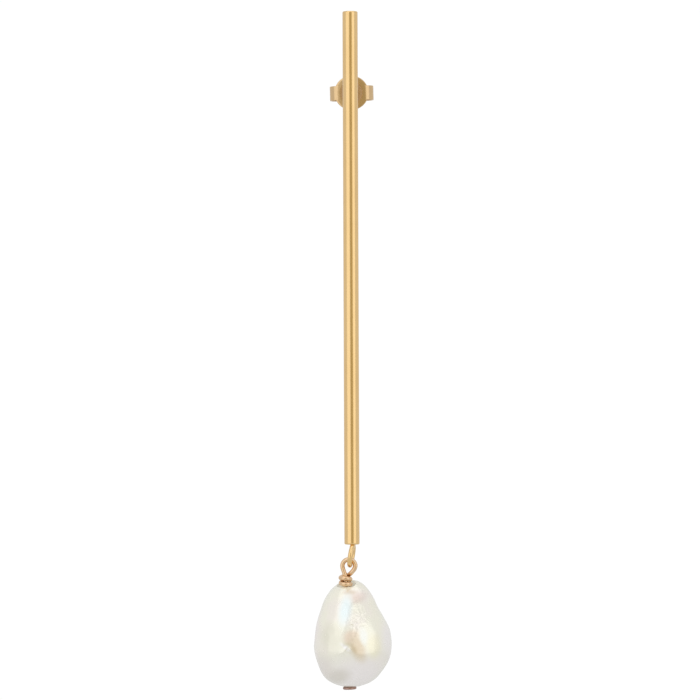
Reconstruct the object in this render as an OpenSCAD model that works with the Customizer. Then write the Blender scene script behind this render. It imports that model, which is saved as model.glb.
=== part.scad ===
// Pearl drop earring: a slim rod on an ear post, and a baroque pearl that hangs
// from the eye under the rod by a wrapped wire loop. Sizes are in millimetres.
// Z is up, the rod's front faces -Y and the post points to +Y. The origin is where
// the post leaves the back of the rod, which is where the front of the ear lobe is.

/* [Rod] */
// Length of the rod
rod_length = 70; // [40:1:80]
// Diameter of the rod
rod_diameter = 2; // [1.6:0.1:3]
// How far the rod rises above the post
rod_rise = 10.3; // [5:0.1:14]
// Radius of the softened edges at both ends of the rod
rod_edge = 0.18; // [0.1:0.02:0.4]

/* [Eye under the rod] */
// Diameter of the eye's wire
eye_wire = 0.62; // [0.6:0.02:0.7]
// Diameter of the eye, across the middle of its wire
eye_diameter = 2.7; // [2.5:0.1:3.2]
// How deep the eye is sunk into the end of the rod
eye_sink = 0.23; // [0.1:0.01:0.3]
// How far the eye stands to the right of the rod's axis
eye_aside = 0.14; // [0:0.01:0.2]
// How far the eye is turned about the rod, its back to the right
eye_turn = 5.5; // [0:0.5:20]
// How far the eye leans to the left
eye_lean = 9; // [0:0.5:15]
// Diameter of the peg that sets the eye in the drilled rod
peg_diameter = 0.58; // [0.5:0.02:0.58]
// Length of that peg
peg_length = 2.4; // [1.5:0.1:4]

/* [Ear post] */
// Diameter of the post
post_diameter = 0.8; // [0.7:0.05:1]
// Length of the post behind the rod
post_length = 11; // [10:0.1:13]
// Distance from the post's end to the middle of its groove
groove_from_end = 2.2; // [1.5:0.1:2.6]
// Depth of the groove
groove_depth = 0.09; // [0.05:0.01:0.12]
// Radius of the solder fillet at the post's root
solder_radius = 0.22; // [0.1:0.01:0.3]

/* [Ear nut] */
// Diameter of the nut's round face
nut_diameter = 4.55; // [4.4:0.05:5]
// Width of the nut across its two scrolls
nut_width = 5.8; // [5.8:0.1:6.4]
// Thickness of the nut's round face
face_sheet = 0.3; // [0.25:0.01:0.35]
// Thickness of the strips
strip_sheet = 0.25; // [0.2:0.01:0.28]
// Height of the strips
strip_height = 1.9; // [1.6:0.1:2.4]
// How far the rim of the round face falls back
rim_fall = 0.08; // [0.04:0.02:0.2]
// How far the nut is turned on the post, its right side up
nut_turn = 1.2; // [0:0.1:5]
// Gap from the back of the rod to the nut's face, where the ear lobe is
lobe_gap = 4.7; // [4.4:0.1:5.5]
// Diameter of the dish round the hole
dish_diameter = 2.8; // [2.4:0.1:3]
// Depth of the dish
dish_depth = 0.45; // [0.2:0.05:0.5]

/* [Headpin] */
// Diameter of the headpin's wire
pin_wire = 0.6; // [0.5:0.02:0.64]
// Diameter of the disc under the pearl
head_diameter = 1.8; // [1.4:0.1:2]
// Thickness of that disc
head_height = 0.36; // [0.2:0.02:0.5]
// How far the pin is tilted, its lower end to the right
pin_tilt = 2; // [0:0.1:4]
// How far the pin stands to the left of the eye, at the top of the pearl
pin_aside = 0.56; // [0.4:0.01:0.6]
// Height from the top of the pearl's hole to the middle of the eye's lowest wire
loop_height = 2.81; // [2.7:0.01:2.95]
// Radius of the round top of the loop, to the middle of its wire
loop_radius = 0.855; // [0.835:0.005:0.875]

/* [Pearl] */
// Length of the drilled hole
drill_length = 13.1; // [12.9:0.1:14]
// Diameter of the drilled hole
drill_diameter = 0.7; // [0.68:0.01:0.8]
// Diameter of the flat spots that the wraps and the disc sit against
seat_diameter = 2; // [1.94:0.02:2.2]
// How much thicker the pearl is on its left than on its right
pearl_skew = 0.18; // [0:0.01:0.3]
// How far the pearl's front and back swell and dip, as a share of its width
pearl_wave = 0.02; // [0:0.005:0.04]

/* [Hidden] */

$fn = 96;
gap = 0.03;                        // clearance between pieces that only touch
rod_radius = rod_diameter / 2;
rod_bottom = rod_rise - rod_length;
post_radius = post_diameter / 2;
groove_width = 0.6;
post_sink = 0.5;                   // how far the post's root goes into the rod
eye_radius = eye_diameter / 2;
nut_radius = nut_diameter / 2;
hole_radius = post_radius + gap;
strip_out = nut_width / 2 - strip_sheet / 2;
bend_from = strip_out - 1.17;      // how far out the nut's face ends and its strips go on
pin_radius = pin_wire / 2;
wrap_radius = pin_wire + 0.02;
arc_step = 15;                     // degrees between the points of a small round edge

// The loop's wire has flat sides, so it is a little under its full size.
wire_sides = 12;
swept_radius = pin_radius * 0.97;

// Where the headpin's wire goes, as seen from the front. It comes up as the neck and
// then as the left side of the loop, goes over the round top, and comes down again on
// the right. There it passes behind the neck and is wound round it, to the left first.
// Each row is how far right, how far back and how high it is over the pearl.
neck_rows = [
    // right,  back,  up
    [ 0.00,   0.00,  0.80],
    [ 0.00,   0.00,  1.05],
    [-0.03,   0.00,  1.42],
    [-0.11,   0.00,  1.76],
    [-0.21,   0.00,  2.10]
];
return_rows = [
    // right,  back,  up
    [ 1.25,   0.00,  2.34],
    [ 1.09,   0.01,  2.12],
    [ 0.91,   0.05,  1.93],
    [ 0.74,   0.13,  1.77],
    [ 0.59,   0.26,  1.64]
];
loop_middle = [0.51, 0, 2.71];
loop_from = 192;                   // the round top starts a little below its left side
loop_to = 0;
loop_step = 24;

// How high the wraps are at each quarter of a turn, from the first time that the wire
// passes behind the neck. Each row is the angle from the right and the height.
wrap_rows = [
    // angle, up
    [  50,  1.52],
    [  90,  1.42],
    [ 180,  1.20],
    [ 270,  1.13],
    [ 360,  0.98],
    [ 450,  0.76],
    [ 540,  0.55],
    [ 630,  0.37],
    [ 720,  gap + pin_radius],
    [ 740,  gap + pin_radius]
];
wrap_steps = 4;                    // points from each row of the wraps to the next
wire_steps = 2;                    // rings from each point of the wire to the next

// The pearl's sections from its foot to its crown. Each row is the height over the
// foot, the middle and half width from left to right, and the middle and half
// depth from front to back, all measured from the drilled hole.
pearl_rows = [
    // height, middle x, half x, middle y, half y
    [ 0.00,    0.35,     0.98,  -0.04,     0.95],
    [ 0.20,    0.35,     1.70,  -0.05,     1.62],
    [ 0.48,    0.35,     2.43,  -0.06,     2.28],
    [ 0.97,    0.34,     3.21,  -0.08,     2.98],
    [ 1.60,    0.38,     3.82,  -0.10,     3.55],
    [ 2.40,    0.50,     4.36,  -0.12,     4.05],
    [ 3.30,    0.62,     4.75,  -0.13,     4.43],
    [ 4.30,    0.65,     5.04,  -0.12,     4.70],
    [ 5.30,    0.65,     5.18,  -0.09,     4.80],
    [ 6.30,    0.67,     5.13,  -0.04,     4.76],
    [ 7.30,    0.67,     4.99,   0.04,     4.60],
    [ 8.30,    0.54,     4.68,   0.15,     4.33],
    [ 9.30,    0.40,     4.23,   0.30,     3.98],
    [10.30,    0.30,     3.77,   0.50,     3.60],
    [11.30,    0.28,     3.36,   0.72,     3.20],
    [12.10,    0.28,     2.88,   0.92,     2.70],
    [12.80,    0.31,     2.34,   1.10,     2.18],
    [13.35,    0.37,     1.72,   1.26,     1.60],
    [13.67,    0.42,     1.14,   1.38,     1.05],
    [13.84,    0.46,     0.53,   1.46,     0.48]
];
row_steps = 3;                     // rings from each row to the next
pearl_sides = 36;

function unit(v) = v / norm(v);

// A point on the smooth curve through four points, between the middle two.
function curve_point(a, b, c, d, t) =
    0.5 * (2 * b + (c - a) * t + (2 * a - 5 * b + 4 * c - d) * t * t
        + (3 * b - a - 3 * c + d) * t * t * t);

// A list of rows, smoothed into steps rows for each of its own.
function smooth(rows, steps) = [
    for (i = [0 : len(rows) - 2])
        for (k = [0 : steps - 1])
            curve_point(rows[max(i - 1, 0)], rows[i], rows[i + 1],
                rows[min(i + 2, len(rows) - 1)], k / steps),
    rows[len(rows) - 1]
];

// The points of a quarter round edge with its middle at (x, y).
function edge_arc(x, y, radius, from) = [
    for (a = [from : arc_step : from + 90]) [x + radius * cos(a), y + radius * sin(a)]
];

// One ring of points round a point of a path, in the plane of the two directions.
function ring(middle, radius, across, up) = [
    for (i = [0 : wire_sides - 1])
        middle + radius * (across * cos(360 * i / wire_sides) + up * sin(360 * i / wire_sides))
];

// The direction of a path at one of its points.
function heading(path, i) =
    unit(path[min(i + 1, len(path) - 1)] - path[max(i - 1, 0)]);

// Directions square to the path that turn as little as they can from point to point.
function sideways(path, first) = [
    for (i = 0, side = first; i < len(path); i = i + 1,
        side = i < len(path) ? unit(side - (side * heading(path, i)) * heading(path, i)) : side)
        side
];

// A closed skin over rings of points that all have the same number of sides.
module skin(rings) {
    sides = len(rings[0]);
    last = (len(rings) - 1) * sides;
    polyhedron(
        points = [for (r = rings) for (p = r) p],
        faces = [
            [for (i = [0 : sides - 1]) i],
            for (r = [0 : len(rings) - 2])
                for (i = [0 : sides - 1])
                    [r * sides + i, (r + 1) * sides + i, (r + 1) * sides + (i + 1) % sides],
            for (r = [0 : len(rings) - 2])
                for (i = [0 : sides - 1])
                    [r * sides + i, (r + 1) * sides + (i + 1) % sides, r * sides + (i + 1) % sides],
            [for (i = [sides - 1 : -1 : 0]) last + i]
        ]
    );
}

// The rod and its post are soldered into one piece. The rod's foot is drilled for the
// eye's peg, and hollowed for the top of its ring.
module bar() {
    color("#d9b878") {
        difference() {
            rod();
            eye_ring(eye_wire + 2 * gap);
            eye_peg(peg_diameter + 2 * gap, peg_length + gap);
        }
        post();
    }
}

module rod() {
    inner = rod_radius - rod_edge;
    translate([0, -rod_radius, 0])
        rotate_extrude()
            polygon(concat(
                [[0, rod_bottom]],
                edge_arc(inner, rod_bottom + rod_edge, rod_edge, -90),
                edge_arc(inner, rod_rise - rod_edge, rod_edge, 0),
                [[0, rod_rise]]
            ));
}

// Places what follows in the eye's own plane, with its top wire at the origin.
module at_eye() {
    translate([eye_aside, -rod_radius, rod_bottom + eye_sink - eye_wire / 2])
        rotate([0, 0, -eye_turn])
            rotate([0, eye_lean, 0])
                children();
}

// The eye is a closed ring of wire on a peg that goes straight up into the rod.
module eye() {
    color("#d9b878") {
        eye_ring(eye_wire);
        eye_peg(peg_diameter, peg_length);
    }
}

module eye_ring(wire) {
    at_eye()
        translate([0, 0, -eye_radius])
            rotate([0, 90, 0])
                rotate_extrude()
                    translate([eye_radius, 0])
                        circle(d = wire);
}

module eye_peg(diameter, length) {
    translate([eye_aside, -rod_radius, rod_bottom + eye_sink - eye_wire / 2])
        cylinder(h = length, d = diameter);
}

// The curve that the solder makes between the rod's back and the post.
function solder_fillet(root) = [
    for (a = [-90 : -arc_step : -180])
        [root + solder_radius * cos(a), solder_radius + solder_radius * sin(a)]
];

module post() {
    tip = post_radius * 0.6;
    root = post_radius + solder_radius;
    groove = post_length - groove_from_end;
    rotate([-90, 0, 0])
        rotate_extrude()
            polygon(concat(
                [[0, -post_sink], [root, -post_sink]],
                solder_fillet(root),
                [for (t = [-0.5 : 0.125 : 0.5])
                    [post_radius - groove_depth * pow(cos(180 * t), 2), groove + groove_width * t]
                ],
                edge_arc(post_radius - tip, post_length - tip, tip, 0),
                [[0, post_length]]
            ));
}

module ear_nut() {
    color("#d2ad66")
        translate([0, lobe_gap, 0])
            rotate([0, -nut_turn, 0]) {
                nut_face();
                nut_strip();
                mirror([1, 0, 0])
                    nut_strip();
            }
}

// The face's front from its rim in to the dish, as far back as it falls.
function face_front(dish) = [
    for (t = [1 : -0.25 : 0]) [dish + (nut_radius - dish) * t, rim_fall * t * t]
];

// The round face falls back towards its rim and is dished backwards round the hole.
// Where it runs on into the strips, their bend takes the place of its rim.
module nut_face() {
    dish = dish_diameter / 2;
    front = face_front(dish);
    difference() {
        rotate([-90, 0, 0])
            rotate_extrude()
                polygon(concat(
                    front,
                    [
                        [hole_radius, dish_depth],
                        [hole_radius, dish_depth + face_sheet],
                        [hole_radius + face_sheet, dish_depth + face_sheet],
                        [dish - face_sheet / 3, face_sheet]
                    ],
                    [for (i = [len(front) - 2 : -1 : 0]) front[i] + [0, face_sheet]]
                ));
        for (side = [-1, 1])
            translate([side * (bend_from + nut_radius), 0, 0])
                cube([2 * nut_radius, 2, strip_height - 0.04], center = true);
    }
}

// The middle line of the right strip as seen from above, with the heading at each
// point: out of the face, round the side, across the back and in to the post.
function strip_line() =
    let (
        front = strip_sheet / 2 + 0.02,
        front_radius = 1.4,
        back_radius = 0.85,
        back = front + front_radius + 0.2 + back_radius,
        curl_radius = 0.75,
        curl_x = hole_radius + strip_sheet / 2 + curl_radius,
        curl_y = back - curl_radius
    )
    concat(
        [for (a = [-84 : 14 : 0])
            [strip_out - front_radius + front_radius * cos(a),
                front + front_radius * (1 + sin(a)), a]
        ],
        [for (a = [0 : arc_step : 90])
            [strip_out - back_radius + back_radius * cos(a),
                back - back_radius + back_radius * sin(a), a]
        ],
        [for (a = [90 : arc_step : 210])
            [curl_x + curl_radius * cos(a), curl_y + curl_radius * sin(a), a]
        ]
    );

module nut_strip() {
    line = strip_line();
    half = strip_sheet / 2;
    linear_extrude(height = strip_height, center = true)
        polygon(concat(
            [for (p = line) [p.x + half * cos(p.z), p.y + half * sin(p.z)]],
            [for (i = [len(line) - 1 : -1 : 0])
                [line[i].x - half * cos(line[i].z), line[i].y - half * sin(line[i].z)]
            ]
        ));
}

// Places what follows on the headpin's axis, with the top of the pearl's hole at
// the origin. It hangs from the middle of the eye's lowest wire.
module at_drop() {
    at_eye()
        translate([0, 0, -eye_diameter])
            rotate([0, -eye_lean, 0])
                translate([-pin_aside, 0, -loop_height])
                    rotate([0, -pin_tilt, 0])
                        children();
}

// The headpin's whole line above the pearl: the neck, the loop and the wraps.
function wire_line() = smooth(
    concat(
        neck_rows,
        [for (a = [loop_from : -loop_step : loop_to])
            loop_middle + loop_radius * [cos(a), 0, sin(a)]
        ],
        return_rows,
        [for (row = smooth(wrap_rows, wrap_steps)) wrap_point(row)]
    ),
    wire_steps
);

// Where the wraps are for an angle round the pin and a height.
function wrap_point(row) = [wrap_radius * cos(row[0]), wrap_radius * sin(row[0]), row[1]];

module headpin() {
    color("#c99a5c")
        at_drop() {
            pin_shaft();
            pin_loop();
        }
}

// The straight stretch of the pin, with the disc that holds the pearl up.
module pin_shaft() {
    top = -drill_length - gap;
    edge = head_height * 0.4;
    head_radius = head_diameter / 2;
    rotate_extrude()
        polygon(concat(
            [[0, top - head_height]],
            edge_arc(head_radius - edge, top - head_height + edge, edge, -90),
            edge_arc(head_radius - edge, top - edge, edge, 0),
            [[pin_radius, top], [pin_radius, neck_rows[1].z - gap], [0, neck_rows[1].z - gap]]
        ));
}

module pin_loop() {
    line = wire_line();
    sides = sideways(line, [0, 1, 0]);
    skin([
        for (i = [0 : len(line) - 1])
            ring(line[i], swept_radius, sides[i], cross(heading(line, i), sides[i]))
    ]);
}

// One ring of the pearl: an oval that is fuller on the left than on the right, with
// a slow swelling that leaves the outline from the front as it is.
function pearl_ring(row) = [
    for (i = [0 : pearl_sides - 1])
        let (
            a = 360 * i / pearl_sides,
            wave = 1 + pearl_wave * sin(a) * sin(a) * sin(2 * a + 55 * row[0])
        )
        [
            row[1] + row[2] * cos(a),
            row[3] + row[4] * sin(a) * (1 - pearl_skew * cos(a)) * wave,
            row[0] - drill_length
        ]
];

module pearl() {
    color("#efeae0")
        at_drop()
            difference() {
                skin([for (row = smooth(pearl_rows, row_steps)) pearl_ring(row)]);
                translate([0, 0, -drill_length - 1])
                    cylinder(h = drill_length + 3, d = drill_diameter);
                cylinder(h = 3, d = seat_diameter);
            }
}

bar();
eye();
ear_nut();
headpin();
pearl();
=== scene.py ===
# %% [markdown]
# A pearl drop earring, dressed for its portrait
#
# The earring is a slim gold rod on an ear post, a butterfly nut behind the ear, and a
# pear-shaped baroque pearl that hangs from the eye under the rod by a wrapped wire loop.
# The solids and the joints come from the CAD model. Here each piece gets a finer mesh
# and the finish of the real one, and then stands in for its solid.

import math

import bmesh
import bpy
from mathutils import Matrix, Vector, noise


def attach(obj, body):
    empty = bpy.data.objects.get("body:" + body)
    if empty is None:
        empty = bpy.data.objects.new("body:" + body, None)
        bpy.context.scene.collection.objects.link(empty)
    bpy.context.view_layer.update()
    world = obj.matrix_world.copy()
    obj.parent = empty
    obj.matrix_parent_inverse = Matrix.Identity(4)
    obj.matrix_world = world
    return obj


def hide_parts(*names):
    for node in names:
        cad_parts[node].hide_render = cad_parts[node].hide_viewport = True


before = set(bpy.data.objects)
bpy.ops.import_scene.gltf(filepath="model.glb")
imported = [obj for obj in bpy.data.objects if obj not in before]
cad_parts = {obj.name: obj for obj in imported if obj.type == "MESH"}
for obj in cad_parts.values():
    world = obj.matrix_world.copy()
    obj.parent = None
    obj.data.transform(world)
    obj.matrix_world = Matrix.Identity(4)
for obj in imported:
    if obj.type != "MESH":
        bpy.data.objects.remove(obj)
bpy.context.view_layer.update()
MM = 0.001

# %% [markdown]
# Where things are
#
# The eye and the drop each have a place of their own in the CAD model. Each place is a
# matrix, so that a piece can be drawn upright at the origin, as at the bench, and then
# be carried to where it hangs. The CAD model uses the same places, so a new piece lands
# on its solid without any fitting. All sizes here are in millimetres.


# %% Places on the earring
def shift(x, y, z):
    """A matrix that moves a piece by x, y and z."""
    return Matrix.Translation((x, y, z))


def turn(degrees, axis):
    """A matrix that turns a piece round one axis."""
    return Matrix.Rotation(math.radians(degrees), 4, axis)


ROD_RADIUS = 1.0
ROD_BOTTOM = -59.7
EYE_WIRE = 0.62
EYE_RADIUS = 1.35
# The eye's top is sunk into the rod, a little right of its middle. The eye is turned
# and leans by these degrees.
EYE_SINK = 0.23
EYE_ASIDE = 0.14
EYE_TURN = -5.5
EYE_LEAN = 9
# The top of the pearl's hole is to the left of the eye's foot and below it, and the
# drop leans a little.
HOLE_ASIDE = -0.56
HOLE_BELOW_EYE = 2.81
DROP_LEAN = -2

eye_top = ROD_BOTTOM + EYE_SINK - EYE_WIRE / 2
EYE_PLACE = shift(EYE_ASIDE, -ROD_RADIUS, eye_top) @ turn(EYE_TURN, "Z") @ turn(EYE_LEAN, "Y")
eye_foot = EYE_PLACE @ shift(0, 0, -2 * EYE_RADIUS) @ turn(-EYE_LEAN, "Y")
DROP_PLACE = eye_foot @ shift(HOLE_ASIDE, 0, -HOLE_BELOW_EYE) @ turn(DROP_LEAN, "Y")
print("top of the eye:", [round(v, 3) for v in EYE_PLACE.translation])
print("top of the pearl's hole:", [round(v, 3) for v in DROP_PLACE.translation])

# %% [markdown]
# Meshes from rings
#
# Most findings are turned on a lathe: the rod, the post, the round head of the pin and
# the face of the nut are all profiles spun round a line. A pearl isn't turned, but it
# too can be cut into rings, which are ovals. The Screw modifier could spin the profiles,
# but not the pearl. One short function that joins any stack of rings into a closed skin
# does both, and it leaves no seam and no doubled points.


# %% Skin over rings
def new_object(name, data):
    """Puts a mesh, a light or a camera into the scene as an object."""
    made = bpy.data.objects.new(name, data)
    bpy.context.scene.collection.objects.link(made)
    return made


def skin(name, rings, closed=False, place=Matrix()):
    """A closed mesh over rings that have the same number of points, in millimetres.
    A closed stack joins its last ring to its first. Another gets a cap at each end."""
    sides = len(rings[0])
    count = len(rings)
    points = [place @ Vector(p) * MM for ring in rings for p in ring]
    faces = []
    for r in range(count if closed else count - 1):
        here = r * sides
        above = (r + 1) % count * sides
        for i in range(sides):
            k = (i + 1) % sides
            faces.append((here + i, here + k, above + k, above + i))
    if not closed:
        for first, way in ((0, -1), ((count - 1) * sides, 1)):
            middle = sum((points[first + i] for i in range(sides)), Vector()) / sides
            points.append(middle)
            for i in range(sides):
                edge = (first + i, first + (i + 1) % sides)[::way]
                faces.append((*edge, len(points) - 1))
    mesh = bpy.data.meshes.new(name)
    mesh.from_pydata(points, [], faces)
    mesh.validate()
    mesh.shade_smooth()
    return new_object(name, mesh)


def circle(steps):
    """The angles of that many points, evenly round a circle."""
    return [math.tau * i / steps for i in range(steps)]


def lathe(profile, sides):
    """Rings of a profile of (radius, height) pairs spun round Z, from the foot up."""
    angles = circle(sides)
    return [[(r * math.cos(a), r * math.sin(a), z) for a in angles] for r, z in profile]


def corner(x, z, radius, start, steps=6):
    """Points of a quarter round whose middle is at (x, z), from start degrees on."""
    turns = [math.radians(start + 90 * i / steps) for i in range(steps + 1)]
    return [(x + radius * math.cos(a), z + radius * math.sin(a)) for a in turns]


quarter = corner(0, 0, 1, 0, steps=2)
print("three points of a quarter round:", [[round(v, 2) for v in p] for p in quarter])

# %% [markdown]
# Joining pieces
#
# Soldered metal is one solid, so its parts are joined by a Boolean modifier and not
# just pushed into each other. The modifier is applied at once: what the library gets
# is a plain closed mesh. The Manifold solver is the quick one. It wants closed meshes,
# and the skins above are closed.


# %% Boolean helper
def settle(piece):
    """Turns what the piece's modifiers make into its own plain mesh."""
    graph = bpy.context.evaluated_depsgraph_get()
    mesh = bpy.data.meshes.new_from_object(piece.evaluated_get(graph))
    piece.modifiers.clear()
    piece.data = mesh
    mesh.name = piece.name
    return piece


def carve(piece, other, operation="UNION"):
    """Joins other to the piece, or cuts it away, and takes other out of the scene."""
    modifier = piece.modifiers.new("join", "BOOLEAN")
    modifier.operation = operation
    modifier.object = other
    modifier.solver = "MANIFOLD"
    settle(piece)
    bpy.data.objects.remove(other)
    return piece


def measure(piece):
    """Says how many triangles a piece has and how much metal or pearl it holds."""
    check = bmesh.new()
    check.from_mesh(piece.data)
    volume = check.calc_volume(signed=True) / MM**3
    loose = sum(not edge.is_manifold for edge in check.edges)
    check.free()
    count = sum(len(p.vertices) - 2 for p in piece.data.polygons)
    print(f"{piece.name}: {count} triangles, {volume:.1f} mm3, {loose} open edges")


# %% [markdown]
# A wire that follows a path
#
# The eye, the loop and the wraps are all round wire bent along a line. A curve object
# with a bevel would do, but Geometry Nodes suit this better: one small tree turns any
# line of points into wire, and its named inputs are the wire's radius and how many
# sides it has. A point may carry a thickness of its own, which rounds off a cut end.


# %% Node helpers
def new_tree(name, inputs):
    """An empty Geometry Nodes tree with the named inputs given as (name, kind, value)."""
    tree = bpy.data.node_groups.new(name, "GeometryNodeTree")
    face = tree.interface
    face.new_socket("Geometry", in_out="INPUT", socket_type="NodeSocketGeometry")
    for label, kind, value in inputs:
        socket = face.new_socket(label, in_out="INPUT", socket_type="NodeSocket" + kind)
        if value is not None:
            socket.default_value = value
    face.new_socket("Geometry", in_out="OUTPUT", socket_type="NodeSocketGeometry")
    return tree


def add(tree, kind, links=None, **settings):
    """Adds a node: settings are its properties, links its inputs by name or number."""
    made = tree.nodes.new(kind)
    for key, value in settings.items():
        setattr(made, key, value)
    for key, value in (links or {}).items():
        socket = made.inputs[key]
        if isinstance(value, bpy.types.NodeSocket):
            tree.links.new(value, socket)
        else:
            socket.default_value = value
    return made


def end_tree(tree, geometry, metal):
    """Makes the result real, gives it its material and hands it out of the tree."""
    real = add(tree, "GeometryNodeRealizeInstances", {"Geometry": geometry})
    dressed = add(
        tree, "GeometryNodeSetMaterial", {"Geometry": real.outputs[0], "Material": metal}
    )
    add(tree, "NodeGroupOutput", {"Geometry": dressed.outputs[0]})
    print(tree.name, "has", len(tree.nodes), "nodes")
    return tree


def run_tree(piece, tree, **values):
    """Runs the tree on the piece with its inputs set by identifier, and keeps the mesh."""
    modifier = piece.modifiers.new(tree.name, "NODES")
    modifier.node_group = tree
    for item in tree.interface.items_tree:
        key = item.name.replace(" ", "_").lower()
        if item.in_out == "INPUT" and key in values:
            modifier[item.identifier] = values[key]
    return settle(piece)


# %% The wire tree
def wire_tree():
    """Sweeps a round section along a line, as thick at each point as it says."""
    tree = new_tree(
        "wire along a path",
        (("Wire radius", "Float", 0.0003), ("Sides", "Int", 24), ("Metal", "Material", None)),
    )
    given = add(tree, "NodeGroupInput").outputs
    line = add(tree, "GeometryNodeMeshToCurve", {"Mesh": given["Geometry"]})
    thick = add(tree, "GeometryNodeInputNamedAttribute", {"Name": "thickness"})
    sized = add(
        tree,
        "GeometryNodeSetCurveRadius",
        {"Curve": line.outputs[0], "Radius": thick.outputs["Attribute"]},
    )
    section = add(
        tree,
        "GeometryNodeCurvePrimitiveCircle",
        {"Resolution": given["Sides"], "Radius": given["Wire radius"]},
    )
    swept = add(
        tree,
        "GeometryNodeCurveToMesh",
        {"Curve": sized.outputs[0], "Profile Curve": section.outputs[0], "Fill Caps": True},
    )
    smooth = add(tree, "GeometryNodeSetShadeSmooth", {"Geometry": swept.outputs[0]})
    return end_tree(tree, smooth.outputs[0], given["Metal"])


WIRE = wire_tree()


# %% Lines for the trees
def new_line(name, path, place=Matrix(), closed=False):
    """An object that is only points and the edges between them, for a tree to dress."""
    count = len(path)
    edges = [(i, (i + 1) % count) for i in range(count if closed else count - 1)]
    mesh = bpy.data.meshes.new(name)
    mesh.from_pydata([place @ Vector(p) * MM for p in path], edges, [])
    return new_object(name, mesh)


def bend_wire(name, path, radius, sides, metal, place, closed=False, ends=()):
    """Wire along path, in millimetres. ends are thicknesses of the last points."""
    piece = new_line(name, path, place, closed)
    thick = piece.data.attributes.new("thickness", "FLOAT", "POINT")
    full = [1.0] * (len(path) - len(ends)) + list(ends)
    thick.data.foreach_set("value", full)
    return run_tree(piece, WIRE, wire_radius=radius * MM, sides=sides, metal=metal)


# %% [markdown]
# Gold
#
# The rod is satin plate, brushed along its length. The nut is bright stamped sheet and
# rougher in its dish, which is darkened to brown by painted shade. The wire is polished
# and a little rosier, and painted shade makes the disc at its foot redder and darker.
# All three are one recipe, so they look like one maker's gold: a pale and a deep tone
# that drift into each other, a fine grain that turns the gloss up and down, and a bump
# so faint that only the highlights show it. Stretching the grain along Z is all it
# takes to turn fine scratches into brushing.

# %% Gold recipe
# A noise texture hardly ever leaves the values between these two.
NOISE_LOW = 0.3
NOISE_HIGH = 0.7
# Half the width of a spot's soft edge, as a share of its radius.
SPOT_EDGE = 0.1


def mix_colours(tree, amount, first, second):
    """One colour turning into another. The Mix node has sockets for every kind of value:
    0 is the amount, 6 and 7 are the two colours, and output 2 is the mixed colour."""
    links = {0: amount, 6: first, 7: second}
    return add(tree, "ShaderNodeMix", links, data_type="RGBA").outputs[2]


def gloss_from(tree, grain, rough):
    """Roughness that goes up and down between two values with the grain of a noise."""
    return add(
        tree,
        "ShaderNodeMapRange",
        {
            "Value": grain,
            "From Min": NOISE_LOW,
            "From Max": NOISE_HIGH,
            "To Min": rough[0],
            "To Max": rough[1],
        },
    ).outputs[0]


def new_finish(name):
    """A new material: gives it, its tree, its shader and the place on the piece."""
    material = bpy.data.materials.new(name)
    material.use_nodes = True
    tree = material.node_tree
    where = add(tree, "ShaderNodeTexCoord").outputs["Object"]
    return material, tree, tree.nodes["Principled BSDF"], where


def gold(name, pale, deep, rough, grain, depth, wave, shaded_spot=None):
    """Plated metal. grain is how fine its scratches are along x, y and z, per metre.
    The spot, if given, is a round place darkened by painted shade, with a rougher gloss:
    its middle, its radius, its darker colour and its roughness."""
    material, tree, shader, where = new_finish(name)
    shader.inputs["Metallic"].default_value = 1.0
    stretched = add(tree, "ShaderNodeMapping", {"Vector": where, "Scale": grain})
    scratches = add(
        tree,
        "ShaderNodeTexNoise",
        {"Vector": stretched.outputs[0], "Scale": 1.0, "Detail": 4.0, "Roughness": 0.6},
    ).outputs["Fac"]
    drift = add(tree, "ShaderNodeTexNoise", {"Vector": where, "Scale": wave, "Detail": 2.0})
    colour = mix_colours(tree, drift.outputs["Fac"], (*deep, 1), (*pale, 1))
    dullness = gloss_from(tree, scratches, rough)
    if shaded_spot:
        middle, radius, shade_colour, spot_rough = shaded_spot
        away = add(tree, "ShaderNodeVectorMath", {0: where, 1: middle}, operation="DISTANCE")
        amount = add(
            tree,
            "ShaderNodeMapRange",
            {
                "Value": away.outputs["Value"],
                "From Min": radius * (1 + SPOT_EDGE),
                "From Max": radius * (1 - SPOT_EDGE),
            },
        ).outputs[0]
        colour = mix_colours(tree, amount, colour, (*shade_colour, 1))
        rough_mix = {0: amount, 2: dullness, 3: spot_rough}
        dullness = add(tree, "ShaderNodeMix", rough_mix).outputs[0]
    tree.links.new(colour, shader.inputs["Base Color"])
    tree.links.new(dullness, shader.inputs["Roughness"])
    bump = add(
        tree, "ShaderNodeBump", {"Height": scratches, "Strength": 0.5, "Distance": depth}
    )
    tree.links.new(bump.outputs[0], shader.inputs["Normal"])
    return material


# %% Three golds
SATIN = gold(
    "satin gold",
    pale=(0.92, 0.665, 0.325),
    deep=(0.865, 0.6, 0.272),
    rough=(0.15, 0.23),
    grain=(9000, 9000, 500),
    depth=4e-6,
    wave=260,
)
SHEET = gold(
    "stamped gold",
    pale=(0.81, 0.6, 0.33),
    deep=(0.7, 0.48, 0.25),
    rough=(0.14, 0.24),
    grain=(5000, 5000, 5000),
    depth=3e-6,
    wave=400,
    # The dish of the nut: painted shade in a darker brown, and a rougher gloss.
    shaded_spot=((0, 0.0049, 0), 0.0015, (0.5, 0.38, 0.24), 0.4),
)
ROSY = gold(
    "rosy gold wire",
    pale=(0.9, 0.66, 0.41),
    deep=(0.78, 0.54, 0.33),
    rough=(0.18, 0.28),
    grain=(5000, 5000, 5000),
    depth=3e-6,
    wave=900,
    # The disc at the pin's foot: painted shade in a darker red-brown, and a rougher gloss.
    shaded_spot=((-0.0004, -0.0009, -0.0789), 0.00118, (0.42, 0.27, 0.22), 0.3),
)
print("gold finishes:", [metal.name for metal in (SATIN, SHEET, ROSY)])

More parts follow.
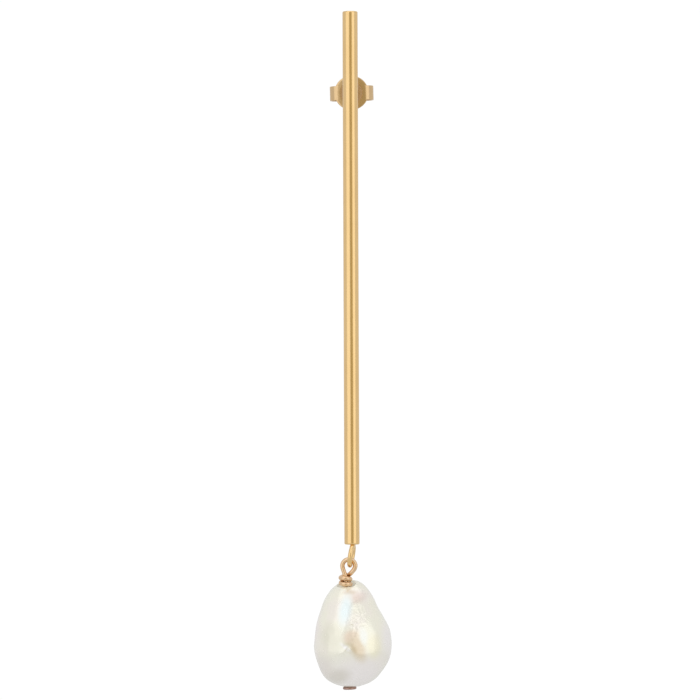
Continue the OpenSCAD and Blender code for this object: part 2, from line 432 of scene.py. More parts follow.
# %% [markdown]
# The rod
#
# The rod is round bar, 2 mm thick and 70 mm long, with its ends softened. A cylinder
# with a Bevel modifier would look the same, but the turned profile is as short to write
# and puts a ring of points at every millimetre, which keeps its long faces even.

# %% Rod
ROD_TOP = 10.3
ROD_EDGE = 0.18
ROD_SIDES = 128
ROD_ROWS = 70
FIRST_ROW = 0.3

rod_profile = (
    corner(ROD_RADIUS - ROD_EDGE, ROD_BOTTOM + ROD_EDGE, ROD_EDGE, -90)
    + [(ROD_RADIUS, ROD_BOTTOM + FIRST_ROW + i) for i in range(ROD_ROWS)]
    + corner(ROD_RADIUS - ROD_EDGE, ROD_TOP - ROD_EDGE, ROD_EDGE, 0)
)
rod = skin("rod_and_post", lathe(rod_profile, ROD_SIDES), place=shift(0, -ROD_RADIUS, 0))
measure(rod)

# %% [markdown]
# The ear post
#
# The post is soldered on the back of the rod, which makes the two one piece. Solder
# creeps up round a joint, so the post's foot flares out and follows the rod's round
# back. Its rings are therefore not flat: each point near the foot sinks by as much as
# the rod falls away under it. Further out come the groove that the nut clicks into and
# a rounded tip that finds its way through the ear.

# %% Post
POST_RADIUS = 0.4
POST_LENGTH = 11.0
POST_SIDES = 64
STEM_FROM = 0.35
STEM_STEP = 0.5
STEM_ROWS = 17
SOLDER = 0.22
GROOVE = 8.8
GROOVE_WIDTH = 0.5
GROOVE_DEPTH = 0.09
TIP_SHARE = 0.6
# How far the post starts inside the rod, and how far the solder's edge is tucked in.
ROOT_DEPTH = 0.5
TUCK = 0.01


def post_rows():
    """Rows of radius, distance from the rod and how much the row clings to its back."""
    foot = [
        (POST_RADIUS + SOLDER * (1 - math.sin(a)), SOLDER * (1 - math.cos(a)), math.cos(a))
        for a in (math.radians(10 * i) for i in range(10))
    ]
    stem = [(POST_RADIUS, STEM_FROM + STEM_STEP * i, 0) for i in range(STEM_ROWS)]
    groove = [
        (
            POST_RADIUS - GROOVE_DEPTH * math.cos(math.pi * t) ** 2,
            GROOVE + GROOVE_WIDTH * t,
            0,
        )
        for t in (-0.5, -0.4, -0.3, -0.2, -0.1, 0, 0.1, 0.2, 0.3, 0.4, 0.5)
    ]
    tip_radius = POST_RADIUS * TIP_SHARE
    tip_round = corner(POST_RADIUS - tip_radius, POST_LENGTH - tip_radius, tip_radius, 0, 10)
    tip = [(r, y, 0) for r, y in tip_round]
    return [(POST_RADIUS + SOLDER, -ROOT_DEPTH, 0), *foot, *stem, *groove, *tip]


def post_ring(r, y, cling):
    """One ring of the post. Where cling is 1, it follows the round back of the rod."""
    ring = []
    for a in circle(POST_SIDES):
        x = r * math.cos(a)
        z = r * math.sin(a)
        sag = math.sqrt(ROD_RADIUS**2 - x * x) - ROD_RADIUS
        ring.append((x, y + cling * (sag - TUCK), -z))
    return ring


carve(rod, skin("post", [post_ring(*row) for row in post_rows()]))
measure(rod)

# %% [markdown]
# The eye
#
# The eye is a small ring of wire, set in the rod's drilled foot on a straight peg. The
# ring is a circle of points for the wire tree. A second ring, thicker by the gap that
# such pieces have between them, is cut out of the rod first, so that the eye's top sits
# in a seat of its own and never passes through the rod.

# %% Eye
GAP = 0.03
EYE_STEPS = 96
EYE_SIDES = 32
PEG_RADIUS = 0.29
PEG_LENGTH = 2.4

eye_path = [
    (0, EYE_RADIUS * math.sin(a), -EYE_RADIUS + EYE_RADIUS * math.cos(a))
    for a in circle(EYE_STEPS)
]
eye_shape = {"sides": EYE_SIDES, "metal": SATIN, "place": EYE_PLACE, "closed": True}
eye_seat = bend_wire("seat", eye_path, EYE_WIRE / 2 + GAP, **eye_shape)
carve(rod, eye_seat, "DIFFERENCE")
measure(rod)
eye = bend_wire("wire_eye", eye_path, EYE_WIRE / 2, **eye_shape)
peg_rings = lathe([(PEG_RADIUS, 0), (PEG_RADIUS, PEG_LENGTH)], EYE_SIDES)
carve(eye, skin("peg", peg_rings, place=shift(*EYE_PLACE.translation)))
measure(eye)

# %% [markdown]
# The strips of the butterfly nut
#
# The nut is one stamping: a round face, dished round its hole, with two strips that bend
# back out of it and curl into scrolls that grip the post. Each scroll is flat strip
# along a curve. It could be a curve with a bevel object, but a second tree does more in
# one go: it sweeps a rounded rectangle along the line and mirrors it for the left one.


# %% Strip tree
def strip_tree():
    """Sweeps a strip with rounded edges along a line, and adds its mirror image."""
    tree = new_tree(
        "strip along a path",
        (
            ("Sheet", "Float", 0.00025),
            ("Height", "Float", 0.0019),
            ("Edge", "Float", 0.00005),
            ("Metal", "Material", None),
        ),
    )
    given = add(tree, "NodeGroupInput").outputs
    line = add(tree, "GeometryNodeMeshToCurve", {"Mesh": given["Geometry"]})
    section = add(
        tree,
        "GeometryNodeCurvePrimitiveQuadrilateral",
        {"Width": given["Sheet"], "Height": given["Height"]},
    )
    rounded = add(
        tree,
        "GeometryNodeFilletCurve",
        {"Curve": section.outputs[0], "Radius": given["Edge"], "Count": 4},
        mode="POLY",
    )
    swept = add(
        tree,
        "GeometryNodeCurveToMesh",
        {"Curve": line.outputs[0], "Profile Curve": rounded.outputs[0], "Fill Caps": True},
    )
    twin = add(
        tree, "GeometryNodeTransform", {"Geometry": swept.outputs[0], "Scale": (-1, 1, 1)}
    )
    flipped = add(tree, "GeometryNodeFlipFaces", {"Mesh": twin.outputs[0]})
    both = add(tree, "GeometryNodeJoinGeometry")
    for made in (swept, flipped):
        tree.links.new(made.outputs[0], both.inputs[0])
    return end_tree(tree, both.outputs[0], given["Metal"])


STRIP = strip_tree()

# %% Strips
NUT_WIDTH = 5.8
HOLE_RADIUS = 0.43
STRIP_SHEET = 0.25
STRIP_HEIGHT = 1.9
# The strip sets off just behind the face, bends back, turns in and curls to the post.
STRIP_BEHIND = 0.02
STRIP_DEPTH = 2.45
BEND_RADIUS = 1.15
TURN_RADIUS = 0.85
CURL_RADIUS = 0.75


def arc(middle, radius, start, end, steps):
    """Points of a round bend, seen from above, from start to end in degrees."""
    turns = [math.radians(start + (end - start) * i / steps) for i in range(steps + 1)]
    x, y = middle
    return [(x + radius * math.cos(a), y + radius * math.sin(a), 0) for a in turns]


def strip_path():
    """The middle line of the right strip, seen from above: out, back and curled in."""
    front = STRIP_SHEET / 2 + STRIP_BEHIND
    back = front + STRIP_DEPTH
    side = NUT_WIDTH / 2 - STRIP_SHEET / 2
    bend = (side - BEND_RADIUS, front + BEND_RADIUS)
    turn_in = (side - TURN_RADIUS, back - TURN_RADIUS)
    curl = (HOLE_RADIUS + STRIP_SHEET / 2 + CURL_RADIUS, back - CURL_RADIUS)
    return (
        arc(bend, BEND_RADIUS, -84, 0, 20)
        + arc(turn_in, TURN_RADIUS, 0, 90, 16)
        + arc(curl, CURL_RADIUS, 90, 210, 20)[1:]
    )


strips = run_tree(
    new_line("strips", strip_path()),
    STRIP,
    sheet=STRIP_SHEET * MM,
    height=STRIP_HEIGHT * MM,
    metal=SHEET,
)
measure(strips)

# %% [markdown]
# The face of the butterfly nut
#
# The face is turned, like the rod: one closed profile goes from the hole over the dish
# and the softly falling rim, round the edge and back along the rear. Then a block is cut
# away on either side, where the sheet doesn't run on as a face but bends into a strip,
# and the strips are joined in. The last step carries the nut behind the ear lobe.

# %% Nut
LOBE_GAP = 4.7
NUT_RADIUS = 2.275
NUT_LEAN = -1.2
NUT_SIDES = 128
FACE_SHEET = 0.3
DISH_RADIUS = 1.4
DISH_DEPTH = 0.45
DISH_BACK = 0.35
BRIM_BACK = 0.1
HOLE_EDGE = 0.05
# The brim, where the dish rolls into the face: radius and fall.
BRIM = [(1.29, 0.06), (1.35, 0.034), (1.42, 0.014)]
RIM_FALL = 0.08
RIM_POWER = 1.25
RIM_EDGE = 0.08
# Where the face ends on either side, and how much less high the cut is than the strip.
BEND_FROM = 1.83
CUT_LESS = 0.02

dome = [
    (DISH_RADIUS + (NUT_RADIUS - DISH_RADIUS) * t, RIM_FALL * t**RIM_POWER)
    for t in (0.1, 0.25, 0.4, 0.55, 0.7, 0.82)
]
rim = NUT_RADIUS - RIM_EDGE
back_of_dish = DISH_DEPTH + FACE_SHEET
face_profile = (
    [(HOLE_RADIUS + HOLE_EDGE, DISH_DEPTH), *BRIM, *dome]
    + corner(rim, RIM_FALL + RIM_EDGE, RIM_EDGE, -90)
    + corner(rim, RIM_FALL + FACE_SHEET - RIM_EDGE, RIM_EDGE, 0)
    + [(r, fall + FACE_SHEET) for r, fall in reversed(dome)]
    + [(DISH_RADIUS - BRIM_BACK, FACE_SHEET), (HOLE_RADIUS + DISH_BACK, back_of_dish)]
    + [(HOLE_RADIUS, back_of_dish), (HOLE_RADIUS, DISH_DEPTH + HOLE_EDGE)]
)
face_rings = lathe(face_profile, NUT_SIDES)
nut = skin("butterfly_nut", face_rings, closed=True, place=turn(-90, "X"))
half = STRIP_HEIGHT / 2 - CUT_LESS
for way in (-1, 1):
    near = way * BEND_FROM
    far = way * (NUT_RADIUS + 1)
    block = [(near, -half), (far, -half), (far, half), (near, half)][::way]
    carve(nut, skin("gap", [[(x, y, z) for x, z in block] for y in (1, -1)]), "DIFFERENCE")
carve(nut, strips)
nut.data.transform(shift(0, LOBE_GAP * MM, 0) @ turn(NUT_LEAN, "Y"))
measure(nut)

# %% [markdown]
# The headpin
#
# A headpin is wire with a small disc at its foot. It goes up through the pearl, leans
# left into a loop bent over round-nosed pliers, comes down on the right, passes behind
# its own neck, is wound nearly twice round it and cut off. A spiral from a formula would
# look too neat for handwork. So the path has listed points with a smooth curve through
# each of them, and the wraps lie almost against each other.


# %% Smooth curves
def between(a, b, c, d, t):
    """A number on the smooth curve through a, b, c and d, at t of the way from b to c."""
    return 0.5 * (
        2 * b
        + (c - a) * t
        + (2 * a - 5 * b + 4 * c - d) * t**2
        + (3 * b - a - 3 * c + d) * t**3
    )


def smooth(rows, steps):
    """A curve through all the rows of numbers, with steps rows from each to the next."""
    last = len(rows) - 1
    result = []
    for i in range(last):
        four = [rows[min(max(k, 0), last)] for k in (i - 1, i, i + 1, i + 2)]
        for step in range(steps):
            result.append([between(*numbers, step / steps) for numbers in zip(*four)])
    return [*result, list(rows[-1])]


print("halfway along a smooth step:", smooth([[0], [0], [1], [1]], 2)[3])

# %% Path of the wire
DRILL_LENGTH = 13.1
PIN_RADIUS = 0.3
PIN_SIDES = 28
PIN_IN_HEAD = 0.1
SHAFT_TOP = 0.7
SHAFT_STEPS = 12
# How thick the last two points of the wire are, where it is cut off.
CUT_END = (0.97, 0.86)
NECK = [(0, 0, 0.8), (0, 0, 1.05), (-0.03, 0, 1.42), (-0.11, 0, 1.76), (-0.21, 0, 2.1)]
LOOP_MIDDLE = (0.51, 2.71)
LOOP_RADIUS = 0.855
# From a little below the left side of the loop, over its top, to its right side.
LOOP_ANGLES = [math.radians(192 - 24 * i) for i in range(9)]
RETURN = [
    (1.25, 0, 2.34),
    (1.09, 0.01, 2.12),
    (0.91, 0.05, 1.93),
    (0.74, 0.13, 1.77),
    (0.59, 0.26, 1.64),
]
WRAP_RADIUS = 0.62
# Each row is an angle round the pin, from its right over its back, and a height.
WRAP_ROWS = [
    (50, 1.52),
    (90, 1.42),
    (180, 1.2),
    (270, 1.13),
    (360, 0.98),
    (450, 0.76),
    (540, 0.55),
    (630, 0.37),
    (720, 0.33),
    (740, 0.33),
]


def loop_point(a):
    """A point of the loop, which stands upright over the pearl."""
    x, z = LOOP_MIDDLE
    return (x + LOOP_RADIUS * math.cos(a), 0, z + LOOP_RADIUS * math.sin(a))


def wrap_point(degrees, height):
    """A point of the wraps, round the neck of the pin."""
    a = math.radians(degrees)
    return (WRAP_RADIUS * math.cos(a), WRAP_RADIUS * math.sin(a), height)


bends = [
    *NECK,
    *[loop_point(a) for a in LOOP_ANGLES],
    *RETURN,
    *[wrap_point(*row) for row in smooth(WRAP_ROWS, 4)],
]
pin_foot = -DRILL_LENGTH - PIN_IN_HEAD
shaft_step = (SHAFT_TOP - pin_foot) / SHAFT_STEPS
shaft = [(0, 0, pin_foot + shaft_step * i) for i in range(SHAFT_STEPS + 1)]
wire_path = shaft + smooth(bends, 8)
headpin = bend_wire(
    "wrapped_headpin", wire_path, PIN_RADIUS, PIN_SIDES, ROSY, DROP_PLACE, ends=CUT_END
)
measure(headpin)

# %% [markdown]
# The head of the pin
#
# The disc under the pearl is what keeps the pearl from sliding off. On the real pin it
# is pressed from the same wire, so it is joined to the wire and not laid under it.
# It is another turned profile, with a round edge.

# %% Head of the pin
HEAD_RADIUS = 0.9
HEAD_HEIGHT = 0.36
HEAD_ROUND = 0.4
HEAD_SIDES = 64

head_top = -DRILL_LENGTH - GAP
head_edge = HEAD_HEIGHT * HEAD_ROUND
edge_middle = HEAD_RADIUS - head_edge
head_profile = [
    *corner(edge_middle, head_top - HEAD_HEIGHT + head_edge, head_edge, -90),
    *corner(edge_middle, head_top - head_edge, head_edge, 0),
]
carve(headpin, skin("head", lathe(head_profile, HEAD_SIDES), place=DROP_PLACE))
measure(headpin)

# %% [markdown]
# The pearl's form
#
# A baroque pearl is no ball: this one is a pear with its crown pushed to the back right.
# It could be sculpted, but a sculpted pearl would drift away from its solid. So it is a
# stack of oval sections, the same as in the CAD model, with more points between them.
# Each section is fuller on its left, and a slow ripple winds up the front and the back.

# %% Sections of the pearl
# Each row is the height over the foot, the middle and half width from left to right,
# and the middle and half depth from front to back.
PEARL_ROWS = [
    (0.00, 0.35, 0.98, -0.04, 0.95),
    (0.20, 0.35, 1.70, -0.05, 1.62),
    (0.48, 0.35, 2.43, -0.06, 2.28),
    (0.97, 0.34, 3.21, -0.08, 2.98),
    (1.60, 0.38, 3.82, -0.10, 3.55),
    (2.40, 0.50, 4.36, -0.12, 4.05),
    (3.30, 0.62, 4.75, -0.13, 4.43),
    (4.30, 0.65, 5.04, -0.12, 4.70),
    (5.30, 0.65, 5.18, -0.09, 4.80),
    (6.30, 0.67, 5.13, -0.04, 4.76),
    (7.30, 0.67, 4.99, 0.04, 4.60),
    (8.30, 0.54, 4.68, 0.15, 4.33),
    (9.30, 0.40, 4.23, 0.30, 3.98),
    (10.30, 0.30, 3.77, 0.50, 3.60),
    (11.30, 0.28, 3.36, 0.72, 3.20),
    (12.10, 0.28, 2.88, 0.92, 2.70),
    (12.80, 0.31, 2.34, 1.10, 2.18),
    (13.35, 0.37, 1.72, 1.26, 1.60),
    (13.67, 0.42, 1.14, 1.38, 1.05),
    (13.84, 0.46, 0.53, 1.46, 0.48),
]
PEARL_SIDES = 240
PEARL_STEPS = 9
FULLER_LEFT = 0.18
RIPPLE = 0.02
RIPPLE_TWIST = 55


def pearl_ring(height, middle_x, half_x, middle_y, half_y):
    """One section of the pearl, as a ring of points."""
    twist = math.radians(RIPPLE_TWIST * height)
    ring = []
    for a in circle(PEARL_SIDES):
        wave = 1 + RIPPLE * math.sin(a) ** 2 * math.sin(2 * a + twist)
        x = middle_x + half_x * math.cos(a)
        y = middle_y + half_y * math.sin(a) * (1 - FULLER_LEFT * math.cos(a)) * wave
        ring.append(Vector((x, y, height - DRILL_LENGTH)))
    return ring


pearl_rings = [pearl_ring(*row) for row in smooth(PEARL_ROWS, PEARL_STEPS)]
print("pearl:", len(pearl_rings), "rings of", PEARL_SIDES)

# %% [markdown]
# The pearl's skin
#
# The skin has slow swells, a patch of fine wrinkles on the upper right of the front, a
# crease down beside it and a short ridge below. A bump in the material could fake them,
# but the mesh is what the library keeps. So they are real relief, about a tenth of a
# millimetre in or out, made by pushing each point along its own direction.

# %% Relief of the pearl
# How high each kind of relief is, in millimetres. The last is how far the whole skin
# is lowered, so that the pearl stays the size of its solid.
SWELL = 0.05
DENT = 0.02
WRINKLE = 0.13
CREASE = 0.12
RIDGE = 0.11
SINK = 0.06
# Each noise has a scale, per millimetre, and a place where its reading starts.
SWELL_NOISE = (0.35, Vector((3.1, 7.7, 1.3)))
DENT_NOISE = (0.9, Vector((9.4, 2.2, 5.8)))
WRINKLE_NOISE = (3.6, Vector((1.7, 4.4, 8.1)))
# The wrinkled patch: its middle and half size, from left to right and up.
WRINKLE_MIDDLE = (1.8, -4.1)
WRINKLE_HALF = (1.1, 1.8)
# The crease: how far right it starts, how it bends to the left below a height, how
# wide it is to either side, and the height and half length of its deepest stretch.
CREASE_SIDE = 0.81
CREASE_BEND = 0.04
CREASE_STRAIGHT_TO = -1.0
CREASE_WIDTH = 0.9
CREASE_MIDDLE = -3.4
CREASE_HALF = 2.4
# The ridge runs up to the right: its middle, its ways, and its half sizes along them.
RIDGE_MIDDLE = Vector((0.17, -8.03))
RIDGE_ALONG = Vector((0.789, 0.614))
RIDGE_ACROSS = Vector((-0.614, 0.789))
RIDGE_LENGTH = 0.7
RIDGE_WIDTH = 0.28
# What is only on the front grows to its full height over this depth.
FRONT_DEPTH = 2.5
# The relief fades out near the crown and the foot, over this many millimetres.
FADE_TOP = -0.6
FADE_FOOT = -12.6
FADE_OVER = 2.0


def limited(value):
    """The value, held between 0 and 1."""
    return min(1.0, max(0.0, value))


def uneven(p, kind):
    """A smooth noise at a point of the pearl."""
    scale, start = kind
    return noise.noise(p * scale + start)


def relief(p):
    """How far the skin stands out at a point of the pearl, in millimetres."""
    fade = limited((FADE_TOP - p.z) / FADE_OVER) * limited((p.z - FADE_FOOT) / FADE_OVER)
    front = limited(-p.y / FRONT_DEPTH)
    right = (p.x - WRINKLE_MIDDLE[0]) / WRINKLE_HALF[0]
    up = (p.z - WRINKLE_MIDDLE[1]) / WRINKLE_HALF[1]
    patch = math.exp(-(right**2) - up**2) * front
    fold = CREASE_SIDE - CREASE_BEND * max(0.0, CREASE_STRAIGHT_TO - p.z) ** 2
    length = math.exp(-(((p.z - CREASE_MIDDLE) / CREASE_HALF) ** 4))
    crease = math.exp(-abs(p.x - fold) / CREASE_WIDTH) * length * front
    from_ridge = Vector((p.x, p.z)) - RIDGE_MIDDLE
    along = from_ridge @ RIDGE_ALONG / RIDGE_LENGTH
    across = from_ridge @ RIDGE_ACROSS / RIDGE_WIDTH
    ridge = math.exp(-(across**2) - along**4) * front
    return fade * (
        SWELL * uneven(p, SWELL_NOISE)
        + DENT * uneven(p, DENT_NOISE)
        + WRINKLE * patch * uneven(p, WRINKLE_NOISE)
        + CREASE * crease
        + RIDGE * ridge
        - SINK
    )


samples = [relief(p) for ring in pearl_rings for p in ring]
print("relief in mm: from", round(min(samples), 3), "to", round(max(samples), 3))

# %% [markdown]
# Drilling the pearl
#
# The hole is drilled right through for the headpin. Rings alone could only leave the
# pearl open at its ends, so the hole is cut with a Boolean, as a drill would. Round its
# top the crown is lowered to a small flat, because the lowest wrap has to sit there.

# %% Pearl
SEAT_RADIUS = 1.0
SEAT_REACH = 1.6
SEAT_STEEPNESS = 4
BORE_RADIUS = 0.35
BORE_SIDES = 48
# Each point of the skin moves along the line from here.
PEARL_MIDDLE = Vector((0.5, 0.2, -DRILL_LENGTH / 2))


def seat(p):
    """Lowers the crown to a flat round the hole, where the wraps sit."""
    away = math.hypot(p.x, p.y)
    if p.z <= 0 or away >= SEAT_REACH:
        return p
    level = max(0.0, away - SEAT_RADIUS) ** 2 * SEAT_STEEPNESS
    return Vector((p.x, p.y, min(p.z, level)))


def carved(p):
    """A point of the pearl with its relief and the seat."""
    return seat(p + (p - PEARL_MIDDLE).normalized() * relief(p))


skin_rings = [[carved(p) for p in ring] for ring in pearl_rings]
pearl = skin("baroque_pearl", skin_rings, place=DROP_PLACE)
bore_profile = [(BORE_RADIUS, -DRILL_LENGTH - 1), (BORE_RADIUS, 2)]
bore = skin("bore", lathe(bore_profile, BORE_SIDES), place=DROP_PLACE)
carve(pearl, bore, "DIFFERENCE")
measure(pearl)

# %% [markdown]
# Nacre
#
# Nacre is a stack of clear plates over a white core: some light comes back soft from the
# core, some from the plates like a cream-coloured mirror, and some from the bare top. So
# the finish is part matt, part metallic under a clear coat, and the mirror's share grows
# to the right, where this pearl shines more. Its colour drifts between cream, rose and
# green. Soft patches lie on top: a few are the nacre's own tint, and the rest are painted
# light. Painted highlights colour the reflections of the lights cyan, white and yellow;
# painted shade darkens the lower left, the foot of the left highlight and the crown just
# under the wraps; and the tan between the lights is partly a painted reflection of the
# warm room in front. The patches are oval places on the pearl itself, so they turn with
# it.

# %% Patches of colour
# Soft patches on the front; those that are painted light say so: the middle and the half
# size of each patch from left to right and up, in millimetres, its lean in degrees, and
# its colour.
PATCHES = [
    ((1.6, -77.5), (6.0, 3.6), 0, (1.0, 0.97, 0.96)),
    ((5.0, -70.5), (1.1, 5.0), 0, (0.98, 0.96, 0.96)),
    # Tan, partly a painted reflection of the warm room in front, here and in the next row.
    ((-0.1, -71.5), (1.1, 0.8), 20, (0.96, 0.82, 0.66)),
    ((0.8, -72.9), (0.95, 1.8), 22, (0.85, 0.74, 0.56)),
    # Painted shade that dims the lower end of the left highlight.
    ((-2.6, -71.4), (1.5, 1.7), 0, (0.89, 0.88, 0.74)),
    # Painted shade at the lower left edge.
    ((-3.9, -76.3), (1.6, 2.2), 0, (0.9, 0.86, 0.81)),
    # Rose, darkened by painted shade below the wraps.
    ((0.8, -66.5), (1.5, 0.8), 15, (0.8, 0.67, 0.58)),
    # Warm painted shade just under the lowest wrap.
    ((-0.2, -65.9), (1.1, 0.35), 0, (0.72, 0.6, 0.44)),
    # Painted shade at the lower left.
    ((-1.9, -76.9), (1.7, 1.1), 20, (0.83, 0.8, 0.74)),
    # Painted highlight: cyan in the left light's reflection.
    ((-0.8, -67.9), (0.85, 2.1), -10, (0.87, 0.98, 0.98)),
    # Painted highlight: bluish white in the right light's reflection.
    ((1.6, -71.5), (0.5, 1.1), 10, (0.97, 0.99, 0.92)),
    # Painted highlight: a short white streak.
    ((-0.7, -72.9), (0.9, 0.26), -38, (1.0, 1.0, 0.96)),
    # Painted highlight: yellow in the right light's reflection.
    ((2.9, -72.8), (0.9, 1.6), 0, (1.0, 0.97, 0.76)),
]
# The patches lie round this depth, and reach this far in front of it and behind it.
PATCH_DEPTH = -5.5
PATCH_REACH = 4
# A patch is full within the first share of its half size, and gone at the second.
PATCH_FULL = 0.4
PATCH_GONE = 1.5


def tinted(tree, where, colour, middle, size, lean, tint):
    """Tints the colour in a soft oval patch on the pearl's front."""
    centre = (middle[0] * MM, PATCH_DEPTH * MM, middle[1] * MM)
    scale = (1 / (size[0] * MM), 1 / (PATCH_REACH * MM), 1 / (size[1] * MM))
    moved = add(tree, "ShaderNodeVectorMath", {0: where, 1: centre}, operation="SUBTRACT")
    turned = add(
        tree,
        "ShaderNodeVectorRotate",
        {"Vector": moved.outputs[0], "Angle": math.radians(lean)},
        rotation_type="Y_AXIS",
    )
    sized = add(
        tree, "ShaderNodeVectorMath", {0: turned.outputs[0], 1: scale}, operation="MULTIPLY"
    )
    away = add(tree, "ShaderNodeVectorMath", {0: sized.outputs[0]}, operation="LENGTH")
    amount = add(
        tree,
        "ShaderNodeMapRange",
        {"Value": away.outputs["Value"], "From Min": PATCH_GONE, "From Max": PATCH_FULL},
        interpolation_type="SMOOTHSTEP",
    )
    return mix_colours(tree, amount.outputs[0], colour, (*tint, 1))


print("patches of colour:", len(PATCHES))

# %% Nacre
# Where the mirror's share starts and stops growing from left to right, in metres, and
# its values there.
LUSTRE_FROM = -0.003
LUSTRE_TO = 0.0005
LUSTRE_LEFT = 0.2
LUSTRE_RIGHT = 0.42
# The drift of colour: places on the ramp and the colours there.
CREAM_GREEN = (0.3, (0.96, 0.97, 0.82, 1))
CREAM = (0.5, (0.98, 0.97, 0.83, 1))
CREAM_ROSE = (0.7, (0.99, 0.93, 0.88, 1))


def drifting_cream(tree, where):
    """Cream that drifts to green and to rose."""
    drift = add(
        tree,
        "ShaderNodeTexNoise",
        {"Vector": where, "Scale": 210.0, "Detail": 3.0, "Roughness": 0.5},
    )
    tints = add(tree, "ShaderNodeValToRGB", {"Fac": drift.outputs["Fac"]})
    ramp = tints.color_ramp
    ramp.elements[0].position, ramp.elements[0].color = CREAM_GREEN
    ramp.elements[1].position, ramp.elements[1].color = CREAM_ROSE
    ramp.elements.new(CREAM[0]).color = CREAM[1]
    return tints.outputs[0]


def nacre():
    """The pearl's finish."""
    material, tree, shader, where = new_finish("nacre")
    shader.inputs["IOR"].default_value = 1.6
    shader.inputs["Coat Weight"].default_value = 0.5
    shader.inputs["Coat Roughness"].default_value = 0.2
    shader.inputs["Coat IOR"].default_value = 1.55
    across = add(tree, "ShaderNodeSeparateXYZ", {0: where}).outputs["X"]
    lustre = add(
        tree,
        "ShaderNodeMapRange",
        {
            "Value": across,
            "From Min": LUSTRE_FROM,
            "From Max": LUSTRE_TO,
            "To Min": LUSTRE_LEFT,
            "To Max": LUSTRE_RIGHT,
        },
    )
    tree.links.new(lustre.outputs[0], shader.inputs["Metallic"])
    colour = drifting_cream(tree, where)
    for patch in PATCHES:
        colour = tinted(tree, where, colour, *patch)
    tree.links.new(colour, shader.inputs["Base Color"])
    fine = add(tree, "ShaderNodeTexNoise", {"Vector": where, "Scale": 1600.0, "Detail": 3.0})
    grain = fine.outputs["Fac"]
    tree.links.new(gloss_from(tree, grain, (0.18, 0.28)), shader.inputs["Roughness"])
    bump = add(tree, "ShaderNodeBump", {"Height": grain, "Strength": 0.2, "Distance": 1e-5})
    tree.links.new(bump.outputs[0], shader.inputs["Normal"])
    return material


NACRE = nacre()
print(NACRE.name, "has", len(NACRE.node_tree.nodes), "nodes")

# %% [markdown]
# Finishing and hanging the pieces
# Each piece gets its one material, and smooth shading that breaks at real edges such as
# the rim of the bore. Then it is hung on the body it moves with: the rod and its eye on
# the earring itself, the nut, the drop that swings and the pearl that turns. Each piece
# takes the place of one solid.

# %% Finish and hang the pieces
SHARP_ANGLE = 40

for piece, node, body, slot, metal in (
    (rod, "bar", "earring", "rod_gold", SATIN),
    (eye, "eye", "earring", "rod_gold", SATIN),
    (nut, "ear_nut", "nut", "nut_gold", SHEET),
    (headpin, "headpin", "drop", "wire_gold", ROSY),
    (pearl, "pearl", "bead", "nacre", NACRE),
):
    piece.data.materials.clear()
    piece.data.materials.append(metal)
    for face in piece.data.polygons:
        face.material_index = 0
    piece.data.shade_smooth()
    piece.data.set_sharp_from_angle(angle=math.radians(SHARP_ANGLE))
    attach(piece, body)
    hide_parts(node)
    print(piece.name, "rides on", body)

# %% [markdown]
# The studio
#
# The photograph is high key: a white ground, one soft light on either side of the
# camera, one at the upper left and one overhead, and a darker, warmer room where the
# camera stands. Polished metal shows only what stands round it, so that dark room is
# what draws the thin dark line down the middle of the rod. The floor is a wide pale
# disc far below. A plain white one shows where each light ends, so this one is dark
# paper that glows by itself, and looks almost even when it is seen from above.

# %% Floor
AIM = Vector((-0.000167, -0.001, -0.03417))
FLOOR_RADIUS = 600.0
FLOOR_TOP = -220.0
FLOOR_SHEET = 1.0
FLOOR_SIDES = 96
FLOOR_HUB = 0.5
FLOOR_GLOW = 0.61

floor_foot = FLOOR_TOP - FLOOR_SHEET
floor_profile = [
    (FLOOR_HUB, floor_foot),
    (FLOOR_RADIUS, floor_foot),
    (FLOOR_RADIUS, FLOOR_TOP),
    (FLOOR_HUB, FLOOR_TOP),
]
floor = skin("floor", lathe(floor_profile, FLOOR_SIDES))
paper = bpy.data.materials.new("paper")
paper.use_nodes = True
paper_sockets = paper.node_tree.nodes["Principled BSDF"].inputs
paper_sockets["Base Color"].default_value = (0.1, 0.1, 0.1, 1)
paper_sockets["Roughness"].default_value = 0.8
paper_sockets["Specular IOR Level"].default_value = 0.0
paper_sockets["Emission Color"].default_value = (1.0, 1.0, 0.99, 1)
paper_sockets["Emission Strength"].default_value = FLOOR_GLOW
paper.cycles.emission_sampling = "NONE"
floor.data.materials.append(paper)
print("floor at", FLOOR_TOP, "mm, and", FLOOR_RADIUS, "mm to its edge")

# %% Lights
LIGHT_DISTANCE = 0.5


def softbox(name, azimuth, elevation, width, height, glow):
    """A rectangle of soft light. Azimuth 0 is where the camera stands, 90 is right."""
    a = math.radians(azimuth)
    e = math.radians(elevation)
    way = Vector((math.sin(a) * math.cos(e), -math.cos(a) * math.cos(e), math.sin(e)))
    light = bpy.data.lights.new(name, "AREA")
    light.shape = "RECTANGLE"
    light.size = width
    light.size_y = height
    light.energy = glow * math.pi * width * height
    lamp = new_object(name, light)
    lamp.location = AIM + way * LIGHT_DISTANCE
    lamp.rotation_euler = (-way).to_track_quat("-Z", "Y").to_euler()
    print(name, "gives", round(light.energy, 3), "W")


# Each row is the azimuth and elevation, in degrees, the width and height, in metres,
# and how brightly the light glows.
softbox("left softbox", -39, 2, 0.49, 0.5, 0.36)
softbox("right softbox", 45, 12, 0.37, 0.66, 0.4)
softbox("upper left softbox", -27, 43, 0.34, 0.3, 0.45)
softbox("top softbox", 60, 84, 0.5, 0.5, 0.4)

# %% Room
# The light of the room all round, the darker colour ahead of the earring, and the white
# that only the camera sees.
FILL = (0.74, 0.73, 0.75, 1)
FRONT = (0.5, 0.435, 0.285, 1)
GROUND = (1.02, 1.02, 1.02, 1)
FRONT_AZIMUTH = 8
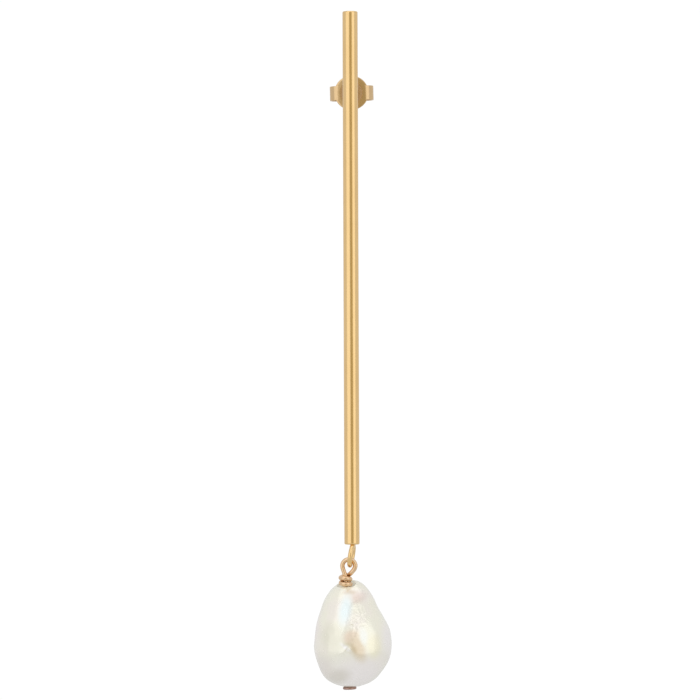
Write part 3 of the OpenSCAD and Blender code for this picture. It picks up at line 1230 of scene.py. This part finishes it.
# The dark part fades in between these cosines of the angle from its middle.
FRONT_EDGE = 0.87
FRONT_FULL = 0.97

room = bpy.data.worlds.new("studio")
bpy.context.scene.world = room
room.use_nodes = True
room_tree = room.node_tree
room_tree.nodes.clear()
toward = math.radians(FRONT_AZIMUTH)
nearness = add(
    room_tree,
    "ShaderNodeVectorMath",
    {
        0: add(room_tree, "ShaderNodeTexCoord").outputs["Generated"],
        1: (math.sin(toward), -math.cos(toward), 0),
    },
    operation="DOT_PRODUCT",
)
ahead = add(
    room_tree,
    "ShaderNodeMapRange",
    {"Value": nearness.outputs["Value"], "From Min": FRONT_EDGE, "From Max": FRONT_FULL},
    interpolation_type="SMOOTHSTEP",
)
shade = mix_colours(room_tree, ahead.outputs[0], FILL, FRONT)
around = add(room_tree, "ShaderNodeBackground", {"Color": shade})
ground = add(room_tree, "ShaderNodeBackground", {"Color": GROUND})
seen = add(room_tree, "ShaderNodeLightPath").outputs["Is Camera Ray"]
light_mix = {0: seen, 1: around.outputs[0], 2: ground.outputs[0]}
mixed = add(room_tree, "ShaderNodeMixShader", light_mix)
add(room_tree, "ShaderNodeOutputWorld", {"Surface": mixed.outputs[0]})
print("the room has", len(room_tree.nodes), "nodes")

# %% [markdown]
# The camera
#
# The photograph is taken straight on, from about half a metre away with a long lens, so
# the strips of the nut hide their undersides. The camera stands a little to the right
# and is tilted by a fifth of a degree, as the one that took the photograph was.

# %% Camera
CAMERA_DISTANCE = 0.5
CAMERA_AZIMUTH = 1.5
CAMERA_ROLL = 0.215

scene = bpy.context.scene
lens = bpy.data.cameras.new("camera")
lens.lens = 195.8
lens.sensor_width = 36.0
lens.clip_start = 0.01
camera = new_object("camera", lens)
side = math.radians(CAMERA_AZIMUTH)
camera.location = AIM + CAMERA_DISTANCE * Vector((math.sin(side), -math.cos(side), 0))
camera.rotation_euler = (math.pi / 2, math.radians(CAMERA_ROLL), side)
scene.camera = camera
scene.view_settings.view_transform = "Standard"
print("camera at", [round(v, 4) for v in camera.location])
